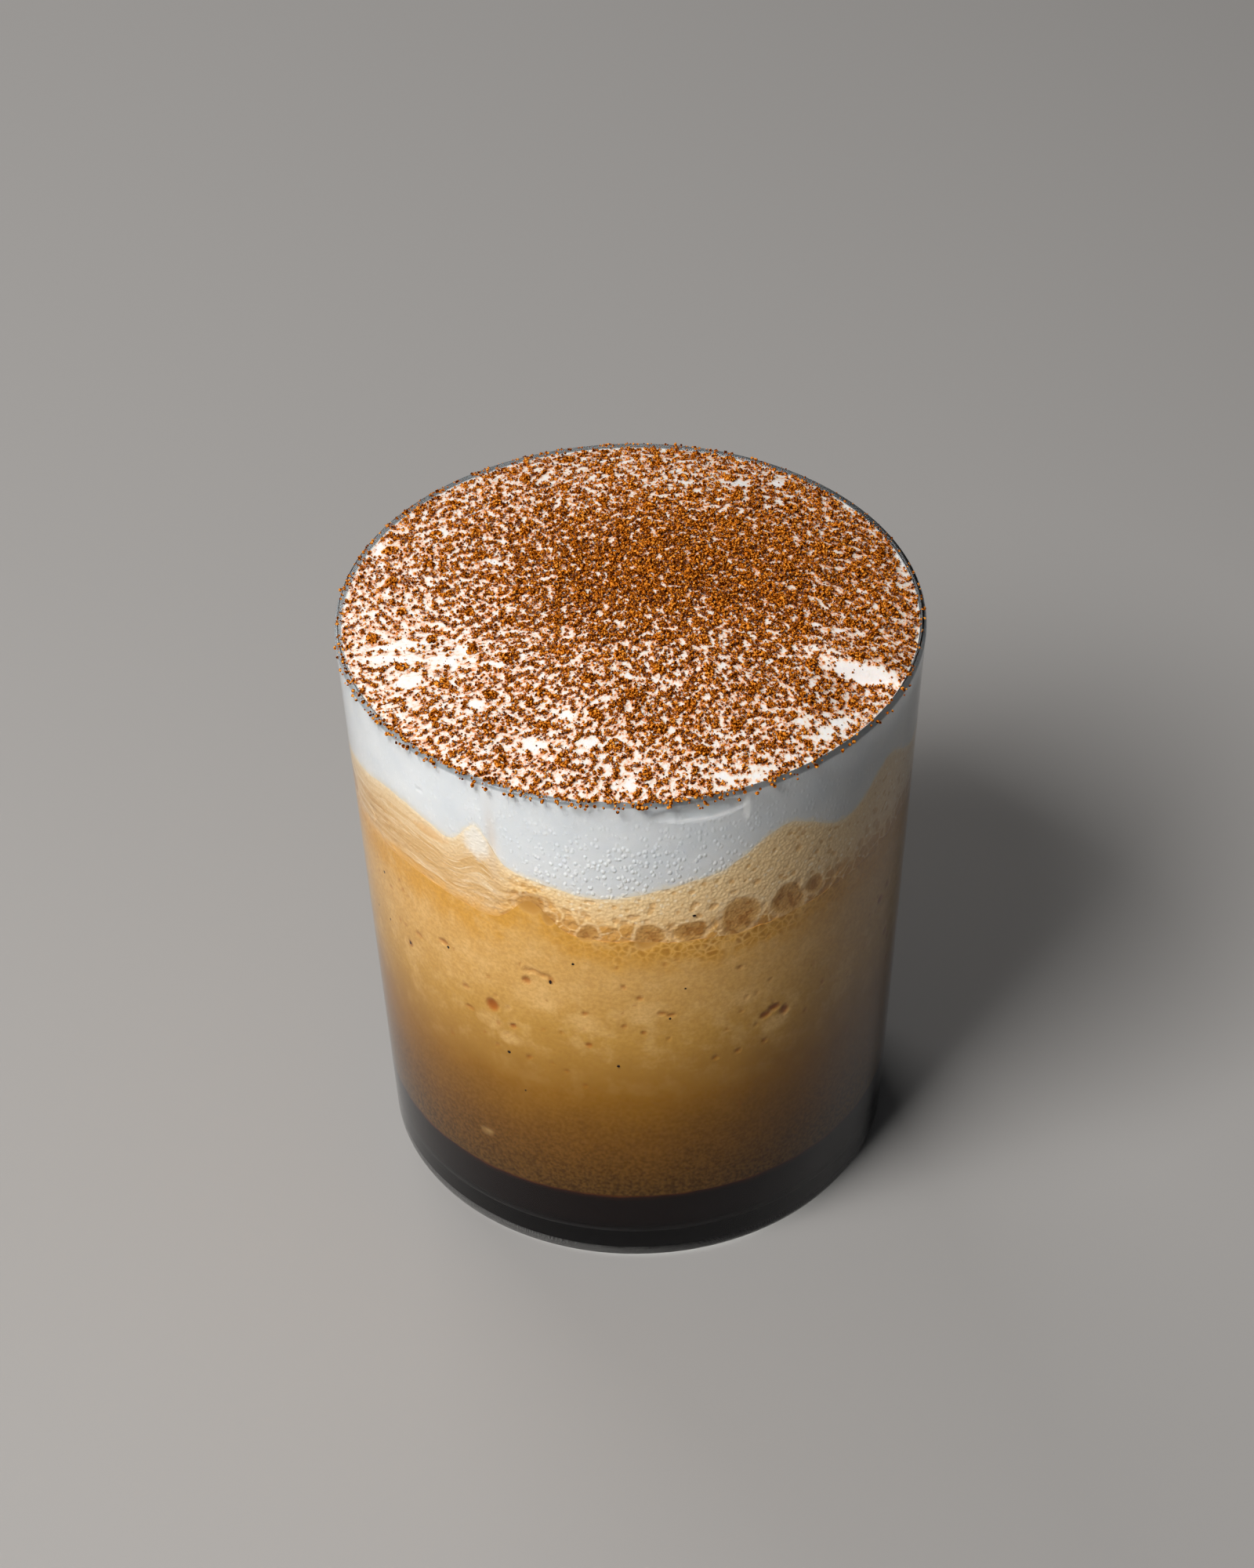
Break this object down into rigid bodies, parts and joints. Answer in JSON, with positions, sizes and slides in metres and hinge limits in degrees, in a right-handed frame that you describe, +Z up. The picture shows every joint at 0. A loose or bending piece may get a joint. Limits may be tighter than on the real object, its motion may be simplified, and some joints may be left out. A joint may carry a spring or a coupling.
{
  "type": "glass of tiramisu frappe",
  "caption": "Thin tapered tumbler of layered iced coffee: black coffee, blended coffee and froth under a mound of whipped cream dusted with cocoa.",
  "frame": {"origin": "middle of the tumbler's foot, on the plane that it stands on", "axes": "+Z up along the tumbler's axis, -Y towards the viewer of the picture, +X to the viewer's right"},
  "size_m": [0.086, 0.086, 0.1008],
  "materials": {
    "clear_glass": "polished, clear and colourless",
    "black_coffee": "a drink stood in for by gloss plastic: nearly black, with a maroon edge",
    "blended_coffee": "a drink stood in for by matte plastic: opaque tan with pits and specks",
    "beige_froth": "foam stood in for by matte plastic: beige with bubbles",
    "whipped_cream": "cream stood in for by matte plastic: soft white under brown cocoa clumps",
    "cocoa_powder": "powder stood in for by matte plastic: dry orange-brown crumbs"
  },
  "bodies": {
    "root": {"tumbler_glass": "clear_glass", "black_coffee": "black_coffee", "blended_coffee": "blended_coffee", "beige_froth": "beige_froth", "whipped_cream": "whipped_cream"}
  },
  "joints": []
}
